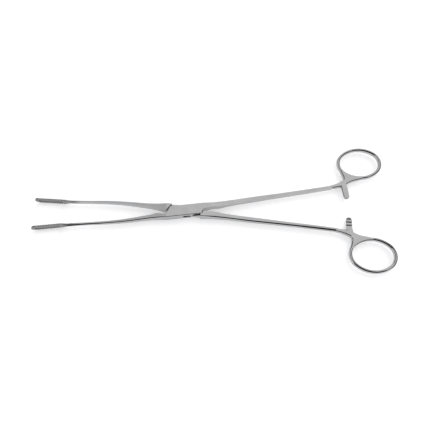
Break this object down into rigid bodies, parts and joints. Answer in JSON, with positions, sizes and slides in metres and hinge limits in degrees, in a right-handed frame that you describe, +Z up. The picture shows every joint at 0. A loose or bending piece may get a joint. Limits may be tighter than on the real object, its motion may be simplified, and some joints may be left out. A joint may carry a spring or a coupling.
{
  "type": "sponge forceps",
  "caption": "Long ring-handled forceps with a box lock, facing ratchet arms and narrow windowed jaws that are cross-serrated on their gripping faces.",
  "frame": {"origin": "on the pivot axis of the box lock, at the flat underside that the forceps lie on", "axes": "+X from the lock to the finger rings, -X to the jaws, +Y across towards the finger ring of the slotted half, +Z up along the pivot axis"},
  "size_m": [0.2472, 0.0932, 0.0068],
  "materials": {
    "tongued_half": "satin-polished stainless steel",
    "slotted_half": "satin-polished stainless steel",
    "lock_pin": "stainless steel, ground flush with the lock"
  },
  "bodies": {
    "slotted_body": {"slotted_half": "slotted_half", "lock_pin": "lock_pin"},
    "tongued_body": {"tongued_half": "tongued_half"}
  },
  "joints": [
    {"name": "box_lock_pivot", "type": "hinge", "parent": "slotted_body", "child": "tongued_body", "pos_m": [0, 0, 0.0034], "axis": [0, 0, 1], "range_deg": [-64.4, 10.6]}
  ]
}
